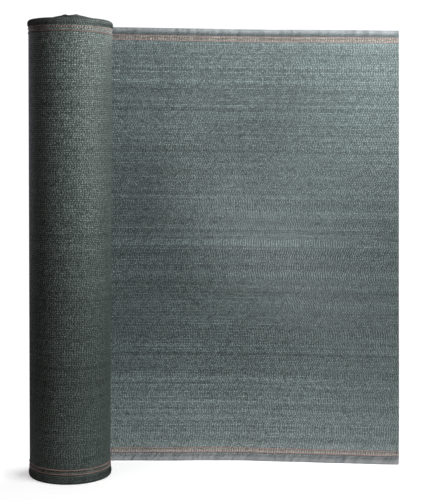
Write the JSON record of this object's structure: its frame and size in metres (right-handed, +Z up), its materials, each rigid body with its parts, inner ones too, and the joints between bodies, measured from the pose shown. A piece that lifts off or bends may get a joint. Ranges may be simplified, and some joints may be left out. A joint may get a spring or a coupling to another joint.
{
  "type": "roll of privacy screen netting",
  "caption": "Roll of dark green knitted privacy screen netting standing on its end, with its loose end drawn out as an upright sheet.",
  "frame": {"origin": "centre of the roll's flat foot, on the floor", "axes": "+Z up along the roll's axis and across the net, +X along the drawn-out sheet away from the roll, +Y from the roll's front to its back, where the sheet leaves it"},
  "size_m": [0.8474, 0.2026, 1.014],
  "materials": {
    "netting": "knitted polyethylene monofilament and tape, grey-green and slightly see-through as one layer, darker where it is wound many layers deep, with paler looped selvedges and two dull pink marker threads along each"
  },
  "bodies": {
    "root": {"roll": "netting", "loose_end": "netting"}
  },
  "joints": []
}
